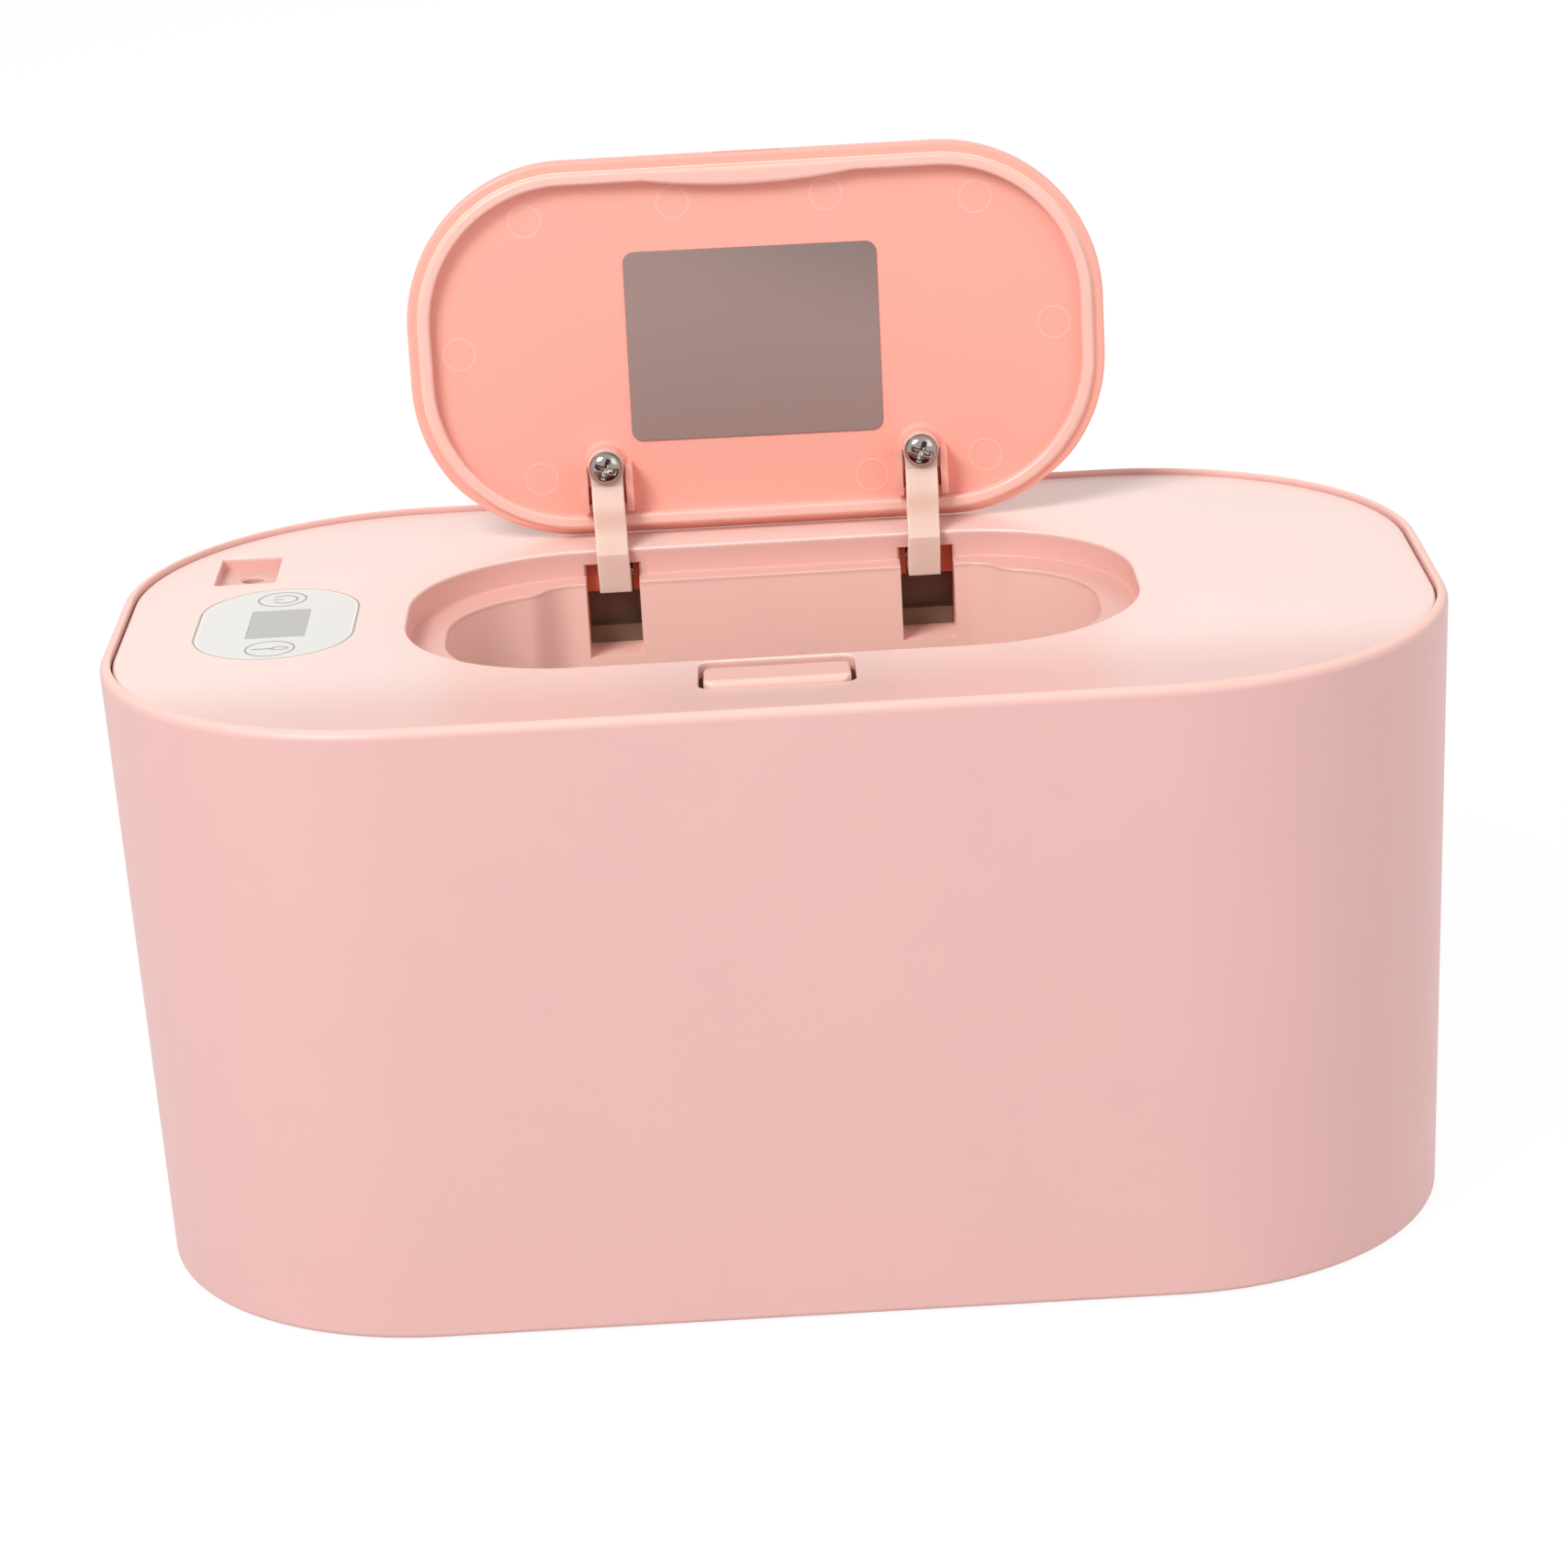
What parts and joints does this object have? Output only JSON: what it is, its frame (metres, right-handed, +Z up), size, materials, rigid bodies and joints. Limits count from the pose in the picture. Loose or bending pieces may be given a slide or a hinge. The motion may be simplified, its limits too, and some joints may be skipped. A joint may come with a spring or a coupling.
{
  "type": "baby wipe warmer",
  "caption": "Oval tub for wipes with a lift-out heated cover, a sprung pop-up lid on gooseneck arms, a release button and a small control panel.",
  "frame": {"origin": "centre of the tub's footprint, at the bottom of its feet", "axes": "+X to the right along the tub's length, +Y to the back where the lid is hinged, +Z up"},
  "size_m": [0.23, 0.136, 0.1774],
  "materials": {
    "tub_pink": "moulded pink plastic with a soft gloss",
    "deck_pink": "moulded pale pink plastic with a soft gloss",
    "lid_pink": "moulded salmon pink plastic with a soft gloss",
    "arm_milky": "milky nylon, satin",
    "seal_silicone": "translucent silicone",
    "foot_rubber": "black rubber",
    "panel_film": "printed film, satin",
    "window_grey": "clear grey window",
    "label_satin": "satin grey plate, bare",
    "white_plastic": "white moulded plastic",
    "dark_plastic": "dark moulded plastic",
    "steel": "bright steel",
    "chrome": "chromed steel",
    "heater_aluminium": "rolled aluminium sheet",
    "heater_film": "amber heater film",
    "pad_felt": "pale felt",
    "board_green": "lacquered circuit board",
    "display_glass": "display glass",
    "lead_red": "insulated wire"
  },
  "bodies": {
    "tub": {"outer_tub": "tub_pink", "foot_front_left": "foot_rubber", "foot_front_right": "foot_rubber", "foot_back_left": "foot_rubber", "foot_back_right": "foot_rubber"},
    "cover": {"top_deck": "deck_pink", "under_cover": "white_plastic", "heating_plate": "heater_aluminium", "film_heater": "heater_film", "insulating_pad": "pad_felt", "thermistor": "dark_plastic", "thermal_cutout": "steel", "circuit_board": "board_green", "control_chip": "dark_plastic", "board_connectors": "white_plastic", "display_glass": "display_glass", "display_holder": "white_plastic", "display_window": "window_grey", "control_panel": "panel_film", "touch_spring_power": "steel", "touch_spring_mode": "steel", "power_jack": "dark_plastic", "jack_pin": "steel", "jack_leads": "lead_red", "heater_leads": "lead_red", "sensor_leads": "dark_plastic", "hinge_insert_left": "dark_plastic", "hinge_insert_right": "dark_plastic", "lid_spring": "steel", "latch_housing": "white_plastic", "button_spring": "steel", "cover_screws": "steel", "board_screws": "steel", "latch_screws": "steel"},
    "lid": {"lid_shell": "lid_pink", "lid_seal": "seal_silicone", "lid_label": "label_satin", "hinge_arm_left": "arm_milky", "hinge_arm_right": "arm_milky", "hinge_shaft": "steel", "lid_screws": "chrome"},
    "button": {"release_button": "deck_pink"},
    "latch": {"latch_plate": "steel"}
  },
  "joints": [
    {"name": "cover_lift", "type": "slide", "parent": "tub", "child": "cover", "axis": [0, 0, 1], "range_m": [0, 0.045]},
    {"name": "lid_hinge", "type": "hinge", "parent": "cover", "child": "lid", "pos_m": [0, 0.0396, 0.10265], "axis": [1, 0, 0], "range_deg": [0, 92.8], "stiffness_Nm_per_rad": 0.0106, "springref_deg": -17.19},
    {"name": "button_press", "type": "slide", "parent": "cover", "child": "button", "axis": [0, 0, -1], "range_m": [0, 0.002], "stiffness_N_per_m": 400, "springref_m": -0.002, "deforming": ["button_spring"]},
    {"name": "latch_slide", "type": "slide", "parent": "cover", "child": "latch", "axis": [0, -1, 0], "range_m": [0, 0.001]}
  ],
  "couplings": [
    {"joint": "latch_slide", "follows": "button_press", "ratio": 0.5}
  ]
}
